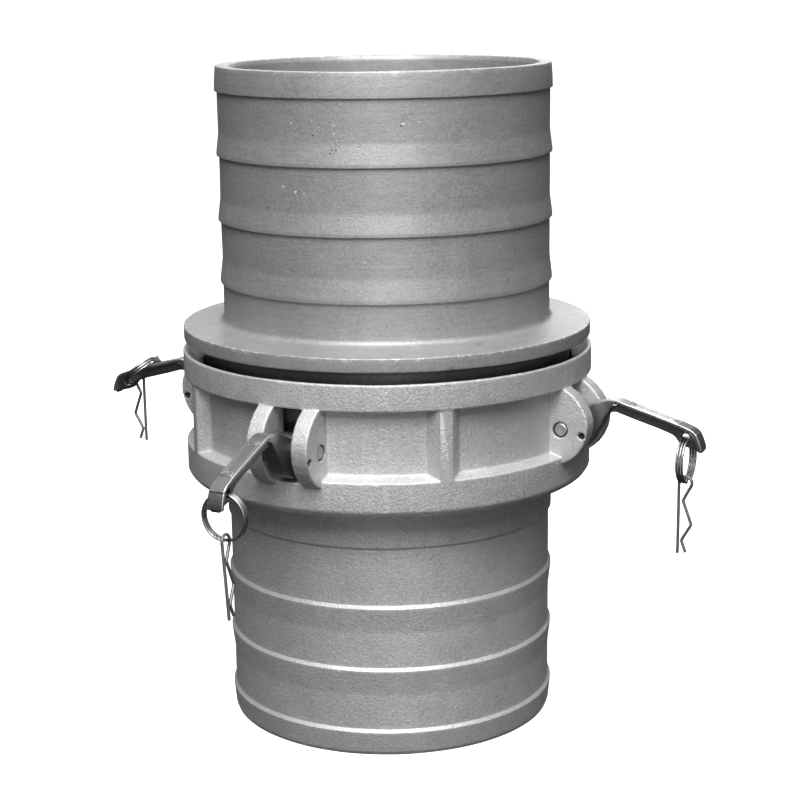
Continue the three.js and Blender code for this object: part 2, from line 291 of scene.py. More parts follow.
def cast(o, voxel, smooth=4, faces=None):
    """Melts overlapping closed shells into one surface with soft inner and outer corners, as a casting has."""
    r = o.modifiers.new("remesh", "REMESH")
    r.mode, r.voxel_size, r.adaptivity = "VOXEL", voxel * MM, 0.0
    s = o.modifiers.new("smooth", "SMOOTH")
    s.factor, s.iterations = 0.5, smooth
    apply_modifiers(o)
    if faces and len(o.data.polygons) * 2 > faces:
        d = o.modifiers.new("decimate", "DECIMATE")
        d.ratio = faces / (len(o.data.polygons) * 2)
        apply_modifiers(o)
    o.data.shade_smooth()
    return o


def read(o):
    co = np.empty(len(o.data.vertices) * 3, np.float32)
    o.data.vertices.foreach_get("co", co)
    return co.reshape(-1, 3)


def write(o, co):
    o.data.vertices.foreach_set("co", np.asarray(co, np.float32).ravel())
    o.data.update()


def normals(o):
    n = np.empty(len(o.data.vertices) * 3, np.float32)
    o.data.vertices.foreach_get("normal", n)
    return n.reshape(-1, 3)


def attribute(o, name, values):
    a = o.data.attributes.get(name) or o.data.attributes.new(name, "FLOAT", "POINT")
    a.data.foreach_set("value", np.asarray(values, np.float32))


def wavy(o, amount, size, seed=0.0):
    """Moves the surface along its normals by smooth noise: amount and size in millimetres."""
    co, n = read(o), normals(o)
    k = 1 / (size * MM)
    d = np.array([noise.noise(Vector(p) * k + Vector((seed, seed * 0.7, -seed))) for p in co.tolist()])
    write(o, co + n * (d * amount * MM)[:, None])


# ------------------------------------------------------------------ materials
def material(name, base, metallic, roughness):
    mat = bpy.data.materials.new(name)
    mat.use_nodes = True
    nt = mat.node_tree
    b = nt.nodes["Principled BSDF"]
    b.inputs["Base Color"].default_value = (*base, 1)
    b.inputs["Metallic"].default_value = metallic
    b.inputs["Roughness"].default_value = roughness
    return mat, nt, b


def node(nt, kind, **values):
    n = nt.nodes.new(kind)
    for k, v in values.items():
        if k in n.inputs:
            n.inputs[k].default_value = v
        else:
            setattr(n, k, v)
    return n


def noise_node(nt, where, scale, detail=3.0, rough=0.55, distortion=0.0, offset=None):
    n = nt.nodes.new("ShaderNodeTexNoise")
    n.inputs["Scale"].default_value = scale
    n.inputs["Detail"].default_value = detail
    n.inputs["Roughness"].default_value = rough
    n.inputs["Distortion"].default_value = distortion
    if offset is not None:
        mp = nt.nodes.new("ShaderNodeMapping")
        mp.inputs["Location"].default_value = offset
        nt.links.new(where, mp.inputs["Vector"])
        where = mp.outputs["Vector"]
    nt.links.new(where, n.inputs["Vector"])
    return n.outputs["Fac"]


def ramp(nt, fac, stops, interpolation="LINEAR"):
    r = nt.nodes.new("ShaderNodeValToRGB")
    r.color_ramp.interpolation = interpolation
    e = r.color_ramp.elements
    while len(e) < len(stops):
        e.new(0.5)
    for el, (pos, c) in zip(e, stops):
        el.position = pos
        el.color = (c, c, c, 1) if isinstance(c, (int, float)) else (*c, 1)
    nt.links.new(fac, r.inputs["Fac"])
    return r.outputs["Color"]


def maths(nt, op, a, b=None, clamp=False):
    n = nt.nodes.new("ShaderNodeMath")
    n.operation, n.use_clamp = op, clamp
    for s, v in zip(n.inputs, (a, b)):
        if v is None:
            continue
        if isinstance(v, (int, float)):
            s.default_value = v
        else:
            nt.links.new(v, s)
    return n.outputs[0]


def mix(nt, kind, fac, a, b):
    n = nt.nodes.new("ShaderNodeMix")
    n.data_type, n.blend_type = "RGBA", kind
    n.clamp_result = True
    for s, v in zip((n.inputs[0], n.inputs[6], n.inputs[7]), (fac, a, b)):
        if isinstance(v, (int, float)):
            s.default_value = v if s.type == "VALUE" else (v, v, v, 1)
        elif isinstance(v, tuple):
            s.default_value = (*v, 1)
        else:
            nt.links.new(v, s)
    return n.outputs[2]


def bump(nt, height, strength, distance, normal=None):
    n = nt.nodes.new("ShaderNodeBump")
    n.inputs["Strength"].default_value = strength
    n.inputs["Distance"].default_value = distance
    nt.links.new(height, n.inputs["Height"])
    if normal is not None:
        nt.links.new(normal, n.inputs["Normal"])
    return n.outputs["Normal"]


def cast_aluminium(name, base=0.60, grain=1.0, streaks=0.0):
    mat, nt, b = material(name, (base,) * 3, 0.6, 0.5)
    where = node(nt, "ShaderNodeTexCoord").outputs["Object"]
    large = noise_node(nt, where, 9, 4, 0.6)
    stain = noise_node(nt, where, 38, 5, 0.65, 0.6)
    speck = noise_node(nt, where, 900, 2.5, 0.7)
    sand = noise_node(nt, where, 420, 3, 0.6, offset=(0.7, 2.2, 1.9))
    tone = mix(nt, "MULTIPLY", 1.0, ramp(nt, large, [(0.3, base * 0.92), (0.7, base * 1.06)]), ramp(nt, stain, [(0.3, 0.91), (0.65, 1.0)]))
    tone = mix(nt, "MULTIPLY", 1.0, tone, ramp(nt, speck, [(0.3, 0.76), (0.5, 0.98), (0.7, 1.0)]))
    tone = mix(nt, "MULTIPLY", 1.0, tone, ramp(nt, sand, [(0.3, 0.88), (0.6, 1.0)]))
    if streaks:
        # fine marks round the turned outside
        mp = node(nt, "ShaderNodeMapping")
        mp.inputs["Scale"].default_value = (1, 1, 14)
        nt.links.new(where, mp.inputs["Vector"])
        line = noise_node(nt, mp.outputs["Vector"], 42, 3, 0.7)
        tone = mix(nt, "MULTIPLY", 1.0, tone, ramp(nt, line, [(0.3, 1 - streaks), (0.62, 1.0)]))
    # pores and small bright scars: scattered thinly, and thickly where the mesh says so
    cells = node(nt, "ShaderNodeTexVoronoi", feature="F1")
    cells.inputs["Scale"].default_value = 240
    nt.links.new(where, cells.inputs["Vector"])
    split = nt.nodes.new("ShaderNodeSeparateColor")
    nt.links.new(cells.outputs["Color"], split.inputs["Color"])
    pitted = node(nt, "ShaderNodeAttribute", attribute_name="pitted").outputs["Fac"]
    rare = noise_node(nt, where, 30, 2, 0.5, offset=(3.1, 1.7, 0.4))
    place = maths(nt, "MAXIMUM", pitted, ramp(nt, rare, [(0.64, 0.0), (0.7, 0.8)]))
    away = maths(nt, "ADD", cells.outputs["Distance"], maths(nt, "MULTIPLY", maths(nt, "SUBTRACT", speck, 0.5), 0.45))
    dots = ramp(nt, away, [(0.13, 1.0), (0.2, 0.0)])
    pore = maths(nt, "MULTIPLY", maths(nt, "MULTIPLY", dots, place), ramp(nt, split.outputs["Red"], [(0.64, 0.0), (0.66, 1.0)]))
    scar = maths(nt, "MULTIPLY", ramp(nt, away, [(0.2, 1.0), (0.32, 0.0)]), ramp(nt, split.outputs["Red"], [(0.6, 1.0), (0.63, 0.0)]))
    scar = maths(nt, "MULTIPLY", maths(nt, "MULTIPLY", scar, pitted), ramp(nt, split.outputs["Green"], [(0.72, 0.0), (0.74, 1.0)]))
    tone = mix(nt, "MIX", maths(nt, "MULTIPLY", scar, 0.9), tone, (0.95, 0.95, 0.95))
    tone = mix(nt, "MIX", maths(nt, "MULTIPLY", pore, 0.95), tone, (0.04, 0.04, 0.04))
    # places given by the mesh: worn bright edges, dark nicks and painted shade in the ears' holes, and painted shade in
    # the gap and windows of the joint and in the coupler's socket and mouth
    wear_and_painted_highlight = node(nt, "ShaderNodeAttribute", attribute_name="wear_and_painted_highlight").outputs["Fac"]
    nick_and_painted_shade = node(nt, "ShaderNodeAttribute", attribute_name="nick_and_painted_shade").outputs["Fac"]
    painted_gap_shade = node(nt, "ShaderNodeAttribute", attribute_name="painted_gap_shade").outputs["Fac"]
    flakes = noise_node(nt, where, 230, 3, 0.7, offset=(5.2, 0.3, 2.6))
    wear_and_painted_highlight = maths(nt, "MULTIPLY", wear_and_painted_highlight, ramp(nt, flakes, [(0.5, 0.0), (0.56, 1.0)]))
    tone = mix(nt, "MIX", maths(nt, "MULTIPLY", wear_and_painted_highlight, 0.75), tone, (0.9, 0.9, 0.9))
    tone = mix(nt, "MIX", maths(nt, "MULTIPLY", nick_and_painted_shade, 0.75), tone, (0.07, 0.07, 0.07))
    # painted shade: the gap, window, socket and mouth mask multiplies the colour nearly to black
    tone = mix(nt, "MULTIPLY", painted_gap_shade, tone, (0.03, 0.03, 0.03))
    nt.links.new(tone, b.inputs["Base Color"])
    rough = ramp(nt, sand, [(0.3, 0.46), (0.7, 0.62)])
    rough = mix(nt, "MIX", maths(nt, "MULTIPLY", painted_gap_shade, 0.8), rough, (0.3, 0.3, 0.3))
    nt.links.new(rough, b.inputs["Roughness"])
    lump = noise_node(nt, where, 95, 3, 0.5, offset=(1.3, 0.2, 5.1))
    n = bump(nt, lump, 0.1 * grain, 0.0009)
    n = bump(nt, sand, 0.3 * grain, 0.0006, n)
    n = bump(nt, speck, 0.5 * grain, 0.0004, n)
    n = bump(nt, maths(nt, "SUBTRACT", scar, pore), 0.6, 0.0006, n)
    nt.links.new(n, b.inputs["Normal"])
    return mat


def polished(name, base, roughness, scale, scratch=(1, 1, 1), strength=0.12, dark=0.0):
    mat, nt, b = material(name, (base,) * 3, 1.0, roughness)
    where = node(nt, "ShaderNodeTexCoord").outputs["Object"]
    mp = node(nt, "ShaderNodeMapping")
    mp.inputs["Scale"].default_value = scratch
    nt.links.new(where, mp.inputs["Vector"])
    fine = noise_node(nt, mp.outputs["Vector"], scale, 4, 0.65)
    blot = noise_node(nt, where, 60, 3, 0.6)
    tone = mix(nt, "MULTIPLY", 1.0, ramp(nt, blot, [(0.3, base * 0.86), (0.7, base * 1.04)]), ramp(nt, fine, [(0.3, 0.9), (0.7, 1.05)]))
    if dark:
        # painted shade and painted highlight: the first mask darkens towards black (the arm's web, the crease between
        # the grip frames, the grooves between the ring's turns), the second lightens towards white (the arm's plate
        # edges and grip frames)
        nick_and_painted_shade = node(nt, "ShaderNodeAttribute", attribute_name="nick_and_painted_shade").outputs["Fac"]
        tone = mix(nt, "MIX", maths(nt, "MULTIPLY", nick_and_painted_shade, dark), tone, (0.03, 0.03, 0.03))
        wear_and_painted_highlight = node(nt, "ShaderNodeAttribute", attribute_name="wear_and_painted_highlight").outputs["Fac"]
        tone = mix(nt, "MIX", maths(nt, "MULTIPLY", wear_and_painted_highlight, 0.95), tone, (0.95, 0.95, 0.95))
    nt.links.new(tone, b.inputs["Base Color"])
    nt.links.new(ramp(nt, fine, [(0.3, roughness * 0.75), (0.7, min(1.0, roughness * 1.35))]), b.inputs["Roughness"])
    n = bump(nt, fine, strength, 0.00025)
    nt.links.new(n, b.inputs["Normal"])
    return mat


ALUMINIUM = cast_aluminium("cast_aluminium", 0.52, 0.9, 0.12)
SAND_CAST = cast_aluminium("sand_cast_aluminium", 0.73, 2.4)
SHELL_CAST = cast_aluminium("lower_shank_aluminium", 0.78, 1.9)
ARM_STEEL = polished("arm_steel", 0.40, 0.38, 700, (1, 1, 1), 0.12, 0.9)
PIN_STEEL = polished("pin_steel", 0.6, 0.5, 900, (1, 1, 1), 0.12)
RING_STEEL = polished("ring_steel", 0.5, 0.3, 120, (1, 1, 1), 0.02, 0.95)
CLIP_STEEL = polished("clip_steel", 0.36, 0.55, 900, (1, 1, 0.15), 0.15)


def rubber():
    mat, nt, b = material("gasket_rubber", (0.02, 0.02, 0.02), 0.0, 0.75)
    where = node(nt, "ShaderNodeTexCoord").outputs["Object"]
    f = noise_node(nt, where, 600, 3, 0.6)
    nt.links.new(ramp(nt, f, [(0.3, 0.014), (0.7, 0.032)]), b.inputs["Base Color"])
    nt.links.new(bump(nt, f, 0.3, 0.0003), b.inputs["Normal"])
    return mat


RUBBER = rubber()


def piece(o, mat, body, node_name):
    o.data.materials.clear()
    o.data.materials.append(mat)
    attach(o, body)
    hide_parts(node_name)
    return o


# ------------------------------------------------------------------ adapter
def barb_up(z, cone):
    """one barb of the upper shank: a ledge that looks down, then a cone that narrows upwards"""
    return [(SHANK_R, z - 0.9, 0.5), (BARB_R, z, 0.35), (BARB_R - 0.1, z + 2.5, 6), (SHANK_R, cone, 30)]


profile = [(BORE_R, 216, 0.6), (141.4, 216, 0.6), (143, 217.8, 0.6)]
reach = math.sqrt(21.4**2 - 13**2)
half = math.degrees(math.asin(reach / 21.4))
for a in np.linspace(180 + half, 180 - half, 15):
    profile.append((156 + 21.4 * math.cos(math.radians(a)), 243.2 + 21.4 * math.sin(math.radians(a)), 0.0))
profile += [(143, 302.4, 3.0), (158.8, 302.4, 1.2), (158.8, 312.7, 0.7), (127, 316.1, 4.2)]
profile += barb_up(346.1, 363.8) + barb_up(394.1, 410.3) + barb_up(443.4, 460.3)
profile += [(SHANK_R, 491.0, 0.5), (BARB_R, 491.9, 0.35), (BARB_R - 0.3, 500, 8), (127.9, 510.3, 0.8), (119.4, 510.3, 1.2), (BORE_R, 507, 5)]
v, f = lathe(rounded(profile, 3.2, 5), 264)
adapter = new_object("adapter_casting", v, f)
wavy(adapter, 0.28, 60, 1.0)
wavy(adapter, 0.16, 22, 7.0)


def wear_and_nicks(o, edges, marks=(), pits=()):
    """edges: (radius, height, reach, level) rings that are worn bright in patches; marks: (point, radius) of dark nicks;
    pits: (azimuth, height, half width, half height, strength) of pitted patches of the outside"""
    co = read(o) / MM
    wear_and_painted_highlight, nick_and_painted_shade = np.zeros(len(co)), np.zeros(len(co))
    r = np.hypot(co[:, 0], co[:, 1])
    for er, ez, reach_, level in edges:
        d = np.hypot(r - er, co[:, 2] - ez)
        near = np.where(d < reach_ * 2)[0]
        for i in near:
            p = Vector(co[i])
            w = noise.noise(p * 0.12 + Vector((er, 0, ez))) * 0.5 + noise.noise(p * 0.5) * 0.5
            wear_and_painted_highlight[i] = max(wear_and_painted_highlight[i], max(0.0, 1 - d[i] / reach_) * min(1.0, max(0.0, level + 1.6 * w)))
    for p, rad_ in marks:
        d = np.linalg.norm(co - np.array(p), axis=1)
        nick_and_painted_shade = np.maximum(nick_and_painted_shade, np.clip(1.3 - d / rad_, 0, 1))
    attribute(o, "wear_and_painted_highlight", wear_and_painted_highlight)
    attribute(o, "nick_and_painted_shade", nick_and_painted_shade)
    pitted = np.zeros(len(co))
    az = np.degrees(np.arctan2(co[:, 0], -co[:, 1]))
    for a, z, w, h, strength in pits:
        across = np.radians((az - a + 180) % 360 - 180) * r / w
        pitted = np.maximum(pitted, strength * np.clip(1.6 - 1.6 * np.hypot(across, (co[:, 2] - z) / h), 0, 1) * (r > 122))
    attribute(o, "pitted", pitted)


wear_and_nicks(
    adapter,
    [(158.8, 312.7, 2.2, 0.7), (158.8, 302.4, 1.6, 0.3), (127.9, 510.3, 1.8, 0.5), (119.4, 510.3, 1.8, 0.5)],
    [((-22, -126, 394.5), 1.6), ((44, -152, 303.5), 1.4), ((66, -121, 314.6), 2.0), ((70, -119, 314.4), 1.6)],
    [(-24, 471, 22, 12, 1), (-16, 458, 9, 9, 1), (-33, 426, 16, 11, 0.9), (-14, 412, 8, 8, 0.9), (6, 474, 22, 6, 0.6),
     (13, 427, 20, 9, 0.4), (50, 378, 9, 7, 0.7), (-4, 378, 40, 10, 0.25), (150, 440, 40, 20, 0.6), (-130, 400, 30, 14, 0.6)],
)
# painted shade on the adapter's male end below the flange, seen in the gap and through the cam windows: strongest right
# under the flange rim, weaker from z 294 to 298 as a lighter painted reflection band, 0.84 further down
co_ = read(adapter) / MM
dark_ = np.interp(co_[:, 2], [286, 291, 294, 298, 300.5, 302], [0.84, 0.84, 0.7, 0.7, 0.88, 0.88])
attribute(adapter, "painted_gap_shade", dark_ * (co_[:, 2] < 302.1) * (np.hypot(co_[:, 0], co_[:, 1]) < 146) * (np.hypot(co_[:, 0], co_[:, 1]) > 119))
piece(adapter, ALUMINIUM, "adapter", "adapter")

# ------------------------------------------------------------------ coupler: turned shank
profile = [(BORE_R, 0, 1.0), (126.4, 0, 1.0), (127.6, 3, 2)]
for z in (18.5, 67.5, 116.6):
    if z > 30:
        profile.append((SHANK_R, z - 19, 30))
    profile += [(BARB_R, z - 1.5, 3), (BARB_R, z, 0.4), (SHANK_R, z + 2.4, 0.8)]
profile += [(SHANK_R, 168, 0), (SHANK_R - 1, 172, 0), (BORE_R + 1.5, 172, 0), (BORE_R, 166, 0)]
shank = lathe(rounded(profile, 3.2, 5), 264)

# ------------------------------------------------------------------ coupler: bell, ears, ribs, windows
bell_profile = [
    (BORE_R, 163.2, 0), (BARB_R, 163.2, 0.3), (BARB_R, 194.5, 7), (BARB_R + 26.5, 194.5, 5.5), (159.2, 200.0, 3), (159.2, 221.9, 0.6),
    (149.6, 225.0, 1.4), (149.6, 274.0, 1.2), (159.9, 274.0, 0.8), (159.9, 294.2, 1.4), (157.6, 294.2, 0.8), (144, 284.7, 1.5), (144, 216, 0.3),
    (146.8, 216, 0.3), (146.8, 207, 0.3), (121, 207, 0.8), (BORE_R, 204, 0.8),
]
bv, bf = lathe(rounded(bell_profile, 6, 4), 240)
bell = new_object("bell", bv, bf)
cuts = []
for az in LUGS.values():
    x0, x1, z0, z1 = 134, 176, 219.5, 274.4
    c = np.array([(x, y, z) for x in (x0, x1) for y in (-EAR_IN, EAR_IN) for z in (z0, z1)])
    cuts.append((turned_z(c, az - 90), [(0, 1, 3, 2), (4, 6, 7, 5), (0, 4, 5, 1), (2, 3, 7, 6), (0, 2, 6, 4), (1, 5, 7, 3)]))
cutter = new_object("cutter", *together(cuts), smooth=False)
boolean = bell.modifiers.new("windows", "BOOLEAN")
boolean.operation, boolean.solver, boolean.object = "DIFFERENCE", "EXACT", cutter
apply_modifiers(bell)
bpy.data.objects.remove(cutter)

extra = []
circle = lambda x, z, r, n=24: [(x + r * math.cos(2 * math.pi * i / n), z + r * math.sin(2 * math.pi * i / n)) for i in range(n)]
ear_outline = rounded([(x, z, 6) for x, z in EAR], 2.0, 3)
for az in LUGS.values():
    for s in (-1, 1):
        y0, y1 = sorted((s * EAR_IN, s * EAR_OUT))
        v, f = slab(ear_outline, y0, y1, 0.75, [circle(*PIVOT, 5.8, 40), circle(172.8, 240, 2.5, 24)])
        extra.append((turned_z(v, az - 90), f))
for az in RIBS:
    top, foot = 4.7, 13.6
    zs = [219.5, 276]
    v = [(r, y, z) for z in zs for r, y in ((147.1, -foot), (159.25, -top), (159.25, top), (147.1, foot))]
    extra.append((turned_z(v, az - 90), [(3, 2, 1, 0), (4, 5, 6, 7), (0, 1, 5, 4), (1, 2, 6, 5), (2, 3, 7, 6), (3, 0, 4, 7)]))
base_v, base_f = read(bell) / MM, [tuple(p.vertices) for p in bell.data.polygons]
bpy.data.objects.remove(bell)
bell = new_object("bell_casting", *together([(base_v, base_f)] + extra))
cast(bell, 0.82, 2, 185000)
wavy(bell, 0.25, 40, 3.0)
wavy(bell, 0.12, 12, 9.0)
wear_and_nicks(bell, [(158.8, 294.0, 2.2, 0.75), (159.2, 199.0, 3.0, 0.1)], [((66.5, -146, 206.5), 1.8)], [(26, 208, 16, 9, 0.5)])
# painted shade inside the coupler's socket and on the lead-in of its mouth
co_ = read(bell) / MM
r_ = np.hypot(co_[:, 0], co_[:, 1])
socket_ = 0.95 * np.clip((146.8 - r_) / 1.5, 0, 1) * (co_[:, 2] > 204.5)
mouth_ = 0.8 * np.clip((156.4 - r_) / 2.5, 0, 1) * (co_[:, 2] > 278)
attribute(bell, "painted_gap_shade", np.maximum(socket_, mouth_))
# painted shade on the walls of the pivot and clip holes in the ears; it takes the place of the bell's nicks
holes_ = np.zeros(len(co_))
for az_ in LUGS.values():
    a_ = math.radians(az_)
    along_ = co_[:, 0] * math.sin(a_) - co_[:, 1] * math.cos(a_)
    across_ = np.abs(co_[:, 0] * math.cos(a_) + co_[:, 1] * math.sin(a_))
    for hx_, hz_, hr_ in ((172.8, 240, 3.0), (PIVOT[0], PIVOT[1], 6.3)):
        near_ = np.hypot(along_ - hx_, co_[:, 2] - hz_) < hr_
        holes_ = np.maximum(holes_, near_ * np.clip((EAR_OUT - 0.25 - across_) / 0.5, 0, 1) * (across_ > EAR_IN - 1))
attribute(bell, "nick_and_painted_shade", np.maximum(holes_, np.zeros(len(co_))))
lower = new_object("shank_casting", *shank)
wavy(lower, 0.25, 60, 4.0)
wavy(lower, 0.14, 22, 2.0)
wear_and_nicks(lower, [(128, 19.7, 1.6, 0.3), (128, 68.7, 1.6, 0.3), (128, 117.8, 1.6, 0.3)], [], [(33.5, 133.5, 10, 6, 1), (37, 136, 6, 5, 0.8), (-150, 90, 30, 14, 0.5)])
piece(bell, SAND_CAST, "coupler", "coupler_body")
piece(lower, SHELL_CAST, "coupler", "coupler_body")

# ------------------------------------------------------------------ gasket
g = new_object("gasket_seal", *lathe(rounded([(121.4, 207.4, 1.5), (146.3, 207.4, 1), (146.3, 215.6, 1), (121.4, 215.6, 2.5)], 2.5, 4), 180))
piece(g, RUBBER, "coupler", "gasket")


# ------------------------------------------------------------------ arms
def offset_below(line, d):
    p = np.array(line, float)
    t = np.gradient(p, axis=0)
    t /= np.linalg.norm(t, axis=1)[:, None]
    return p + np.stack([t[:, 1], -t[:, 0]], -1) * d


def smooth_line(points, n):
    """a Catmull-Rom line through points, n steps a span"""
    p = np.array(points, float)
    q = np.vstack([2 * p[0] - p[1], p, 2 * p[-1] - p[-2]])
    out = []
    for i in range(1, len(q) - 2):
        for k in range(n):
            t = k / n
            out.append(0.5 * ((2 * q[i]) + (-q[i - 1] + q[i + 1]) * t + (2 * q[i - 1] - 5 * q[i] + 4 * q[i + 1] - q[i + 2]) * t * t
                              + (-q[i - 1] + 3 * q[i] - 3 * q[i + 1] + q[i + 2]) * t**3))
    out.append(q[-2])
    return np.array(out)


def arc2(r, a0, a1, n):
    return [(r * math.cos(math.radians(a)), r * math.sin(math.radians(a))) for a in np.linspace(a0, a1, n + 1)]


def arm_mesh():
    back = arc2(12.4, 180, 60, 12)
    nose = arc2(20.6, -49, -108, 14) + [(-10.6, -15.2), (-12.2, -10.4), (-12.4, -5.6)]
    top = smooth_line(TOP_LINE, 3)
    web = list(back) + [tuple(p) for p in top] + [(102.9, -12.4), (101.3, -13)] + WEB_LOWER + nose
    under = offset_below(top, 2.7)
    plate = [tuple(p) for p in top] + [tuple(p) for p in under[::-1]]
    # a step under the top plate, round the hook
    inner = offset_below(top[-27:], 2.5)
    rim = [tuple(p) for p in inner] + [tuple(p) for p in offset_below(inner, 1.5)[::-1]]
    parts = [
        slab(web, -3.4, 3.4, 0.5, [circle(*EYE, 3.45, 32), circle(0, 0, 5.5)]),
        slab(plate, -6.4, 6.4, 0.55),
        slab(rim, -5.4, 5.4, 0.3),
        slab(list(back) + LOBE_TOP + nose, -6.4, 6.4, 0.7, [circle(0, 0, 5.5)]),
    ]
    # the little ridge across the hook
    parts.append(slab(circle(99.0, 1.25, 0.75, 12), -6.1, 6.1, 0.2))
    o = new_object("arm", *together(parts))
    cast(o, 0.42, 3, 56000)
    return o


def grip_parts():
    """the panel on top of the handle, in a double frame, with fine ribs along it, as closed shells that sit in the top plate"""
    a, b = np.array((45.6, 19.6)), np.array((86.0, 8.1))
    d = (b - a) / np.linalg.norm(b - a)
    n = np.array((-d[1], d[0]))
    length = np.linalg.norm(b - a)
    parts = []

    def lift(s):
        # height of the top line above the panel's own straight line
        x = a[0] + d[0] * s
        z = np.interp(x, [p[0] for p in TOP_LINE], [p[1] for p in TOP_LINE])
        return z - (a[1] + d[1] * s)

    def bar(s0, s1, y0, y1, h):
        k = max(1, int((s1 - s0) / 3))
        edge = min(0.18, (y1 - y0) * 0.3)
        ss = [s0 + (s1 - s0) * i / k for i in range(k + 1)]
        q = [(t, -1.0 + lift(t)) for t in ss] + [(t, h + lift(t)) for t in reversed(ss)]
        parts.append(slab([tuple(a + d * t + n * w) for t, w in q], y0, y1, edge, steps=2))

    bar(0, 0.75, -5.3, 5.3, 0.4)
    bar(length - 0.75, length, -5.3, 5.3, 0.4)
    bar(0.3, length - 0.3, -5.3, -4.6, 0.4)
    bar(0.3, length - 0.3, 4.6, 5.3, 0.4)
    bar(1.9, 2.5, -3.8, 3.8, 0.3)
    bar(length - 2.5, length - 1.9, -3.8, 3.8, 0.3)
    bar(2.2, length - 2.2, -3.8, -3.25, 0.3)
    bar(2.2, length - 2.2, 3.25, 3.8, 0.3)
    for y in (-2.1, -0.7, 0.7, 2.1):
        bar(3.6, length - 3.6, y - 0.3, y + 0.3, 0.16)
    return parts


arm = arm_mesh()
arm_v, arm_f = read(arm) / MM, [tuple(p.vertices) for p in arm.data.polygons]
bpy.data.objects.remove(arm)
grip = grip_parts()
arm_all = together([(arm_v, arm_f)] + grip)


def from_line(p, line):
    """distance of points (x, z) from an open line"""
    q = np.array(line, float)
    best = np.full(len(p), 1e9)
    for a, b in zip(q[:-1], q[1:]):
        d = b - a
        t = np.clip(((p - a) @ d) / (d @ d), 0, 1)
        best = np.minimum(best, np.hypot(*(p - a - t[:, None] * d).T))
    return best


flat = arm_all[0][:, (0, 2)]
side = np.abs(arm_all[0][:, 1])
deep = from_line(flat, smooth_line(TOP_LINE, 2))
# painted highlight: the top plate's side edges are lightened along their length, and its side faces a little
arm_painted_highlight = 0.6 * (side > 5.6) * np.clip(1.2 - deep / 0.65, 0, 1) * (flat[:, 0] > 26)
arm_painted_highlight = np.maximum(arm_painted_highlight, 0.25 * (side > 5.9) * (deep < 2.4) * (flat[:, 0] > 30))
# painted shade: the web under the top plate is darkened, and a dark line is painted in the crease between the grip's
# two frames
arm_painted_shade = 0.4 * (side < 4.3) * (deep > 3.0) * (flat[:, 0] > 30)
arm_painted_shade = np.maximum(arm_painted_shade, 0.55 * (deep < 0.3) * (side > 3.95) * (side < 4.5) * (flat[:, 0] > 46) * (flat[:, 0] < 85.5))
# the grip's frame bars get the painted highlight, the ribs none; no grip part gets painted shade
start_ = len(arm_v)
for i_, (gv_, gf_) in enumerate(grip):
    arm_painted_highlight[start_:start_ + len(gv_)] = 0.42 if i_ < 8 else 0.0
    arm_painted_shade[start_:start_ + len(gv_)] = 0.0
    start_ += len(gv_)


def ring_wire():
    """three turns of wire side by side, its axis along X, its top at the origin, hanging down"""
    jog = math.radians(36)
    pts = []
    start, end = 0.0, 3 * 2 * math.pi - jog
    for a in np.arange(start, end, math.radians(6)):
        turn, within = divmod(a, 2 * math.pi)
        x = turn + (max(0.0, within - (2 * math.pi - jog)) / jog)
        x = turn + (3 * (x - turn) ** 2 - 2 * (x - turn) ** 3)
        w = a + math.radians(200)
        pts.append(((x - 1) * RING_WIRE, RING_R * math.sin(w), -RING_R + RING_R * math.cos(w)))
    return tube(pts, RING_WIRE / 2 * 0.92, 16)


def clip_wire():
    pts = []
    for p in CLIP_PATH:
        if p == "arc":
            pts += arc2(CLIP_R, 180, 0, 10)
        else:
            pts.append(p)
    line = smooth_line(pts, 4)
    return tube([(x, 0, z) for x, z in line], CLIP_WIRE / 2, 12)


def pin_mesh():
    v, f = lathe(rounded([(0.4, -23.9, 0.2), (3.9, -24.2, 0.4), (5, -23.6, 0.5), (5, 23.6, 0.5), (3.9, 24.2, 0.4), (0.4, 23.9, 0.2)], 5, 3), 40)
    v = np.stack([v[:, 0], v[:, 2], -v[:, 1]], -1)
    return v, f


def place_in_lug(v, az, x, y, z):
    return turned_z(np.asarray(v) + np.array([x, y, z]), az - 90)


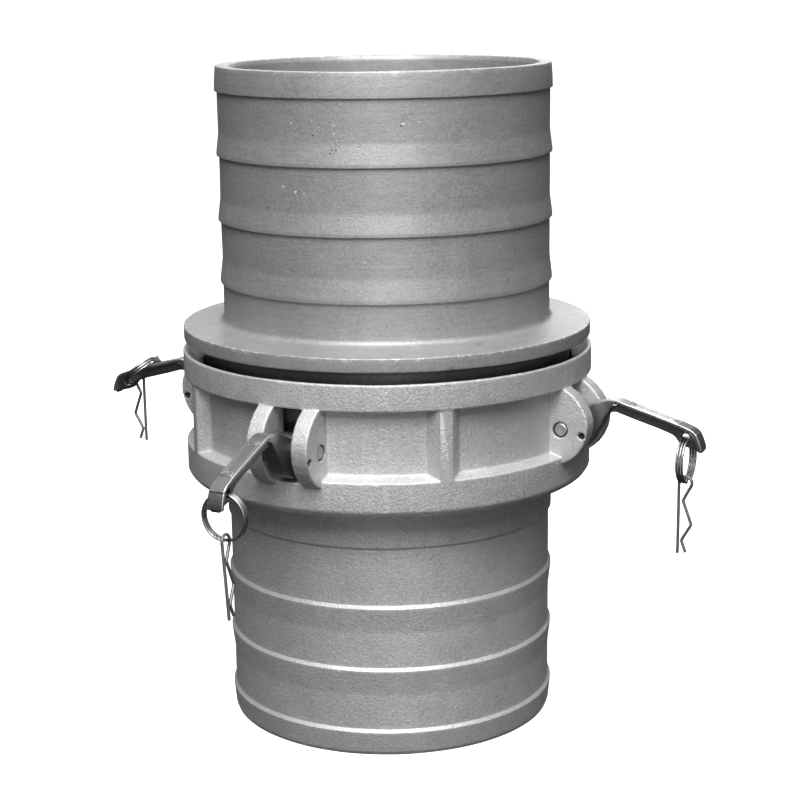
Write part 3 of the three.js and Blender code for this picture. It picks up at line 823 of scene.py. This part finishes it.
ring_v, ring_f = ring_wire()
clip_v, clip_f = clip_wire()
pin_v, pin_f = pin_mesh()
for place, az in LUGS.items():
    droop = DROOP.get(place, 0.0)
    # a droop turns +X towards -Z
    o = new_object("lever_" + place, place_in_lug(turned_y(arm_all[0], droop), az, PIVOT[0], SLIDE.get(place, 0), PIVOT[1]), arm_all[1])
    attribute(o, "wear_and_painted_highlight", arm_painted_highlight)
    attribute(o, "nick_and_painted_shade", arm_painted_shade)
    piece(o, ARM_STEEL, "arm_" + place, "cam_arm_" + place)
    o = new_object("pin_" + place, place_in_lug(pin_v, az, PIVOT[0], 0, PIVOT[1]), pin_f)
    piece(o, PIN_STEEL, "coupler", "pivot_pin_" + place)
    w = math.radians(droop)
    ex = PIVOT[0] + EYE[0] * math.cos(w) + EYE[1] * math.sin(w)
    ez = PIVOT[1] + EYE[1] * math.cos(w) - EYE[0] * math.sin(w)
    cv = clip_v
    if place == "left":
        rv, rz = turned_y(ring_v, -(LEFT_DIR + 90)), ez
        d, a = math.radians(LEFT_DIR), math.radians(LEFT_CLIP)
        along = RING_R * (1 - math.cos(a))
        cx, cy, cz = ex + along * math.cos(d), -RING_R * math.sin(a), ez + along * math.sin(d) - CLIP_DROP / 2
    else:
        rv, rz = ring_v, ez - RING_SAG
        cx, cy, cz = ex, SLIDE.get(place, 0), ez - RING_SAG - 2 * RING_R - CLIP_DROP
    if place in CLIP_TURN:
        turn, lean = CLIP_TURN[place]
        cv = turned_z(cv, turn)
        c, n_ = math.cos(math.radians(lean)), math.sin(math.radians(lean))
        cv = np.stack([cv[:, 0], cv[:, 1] * c - cv[:, 2] * n_, cv[:, 1] * n_ + cv[:, 2] * c], -1)
    o = new_object("split_ring_" + place, place_in_lug(rv, az, ex, SLIDE.get(place, 0), rz), ring_f)
    # painted shade in the grooves where the ring's turns lie against each other
    attribute(o, "nick_and_painted_shade", np.clip(1.5 - np.abs(np.abs(ring_v[:, 0]) - RING_WIRE / 2) / (0.2 * RING_WIRE), 0, 1))
    piece(o, RING_STEEL, "ring_" + place, "pull_ring_" + place)
    o = new_object("wire_clip_" + place, place_in_lug(cv, az, cx, cy, cz), clip_f)
    piece(o, CLIP_STEEL, "clip_" + place, "safety_clip_" + place)

# ------------------------------------------------------------------ stage and light
floor_mesh = bpy.data.meshes.new("floor")
floor_mesh.from_pydata([(-90, -90, 0), (90, -90, 0), (90, 90, 0), (-90, 90, 0)], [], [(0, 1, 2, 3)])
floor = bpy.data.objects.new("floor", floor_mesh)
scene.collection.objects.link(floor)
floor_mat, fnt, fb = material("floor_paper", (0.85, 0.85, 0.85), 0.0, 1.0)
fb.inputs["Emission Color"].default_value = (1, 1, 1, 1)
fb.inputs["Emission Strength"].default_value = 0.92
floor.data.materials.append(floor_mat)
floor.visible_diffuse = False
floor.visible_glossy = False

world = bpy.data.worlds.new("studio")
scene.world = world
world.use_nodes = True
wn = world.node_tree
bg = wn.nodes["Background"]
sep = wn.nodes.new("ShaderNodeSeparateXYZ")
wn.links.new(wn.nodes.new("ShaderNodeTexCoord").outputs["Generated"], sep.inputs[0])
w01 = maths(wn, "MULTIPLY_ADD", sep.outputs["Z"], 0.5)
w01.node.inputs[2].default_value = 0.5
wn.links.new(ramp(wn, w01, [(0.0, 0.03), (0.47, 0.05), (0.56, 0.085), (0.8, 0.3), (1.0, 0.5)]), bg.inputs["Color"])
bg.inputs["Strength"].default_value = 1.0
# the wall behind the floor is as pale as the floor
wall = node(wn, "ShaderNodeBackground")
wall.inputs["Color"].default_value = (0.96, 0.96, 0.96, 1)
both = node(wn, "ShaderNodeMixShader")
wn.links.new(node(wn, "ShaderNodeLightPath").outputs["Is Camera Ray"], both.inputs[0])
wn.links.new(bg.outputs[0], both.inputs[1])
wn.links.new(wall.outputs[0], both.inputs[2])
wn.links.new(both.outputs[0], wn.nodes["World Output"].inputs["Surface"])


def area(name, place, aim, size, power, size_y=None):
    data = bpy.data.lights.new(name, "AREA")
    data.energy, data.size = power, size
    if size_y:
        data.shape, data.size_y = "RECTANGLE", size_y
    o = bpy.data.objects.new(name, data)
    o.location = place
    o.rotation_mode = "QUATERNION"
    o.rotation_quaternion = (Vector(aim) - Vector(place)).to_track_quat("-Z", "Y")
    scene.collection.objects.link(o)
    return o


area("key", (-0.15, -1.9, 2.0), (0, 0, 0.28), 1.2, 44)
area("high", (-0.05, -1.15, 2.3), (0, 0, 0.25), 1.1, 30)
area("top", (0.0, 0.2, 2.3), (0, 0, 0.3), 1.5, 9)
area("fill", (0.1, -2.2, 0.45), (0, 0, 0.2), 0.9, 5)
area("back", (0.3, 2.4, 1.1), (0, 0, 0.25), 1.4, 18)
scene.view_settings.view_transform = "Standard"
scene.view_settings.look = "None"
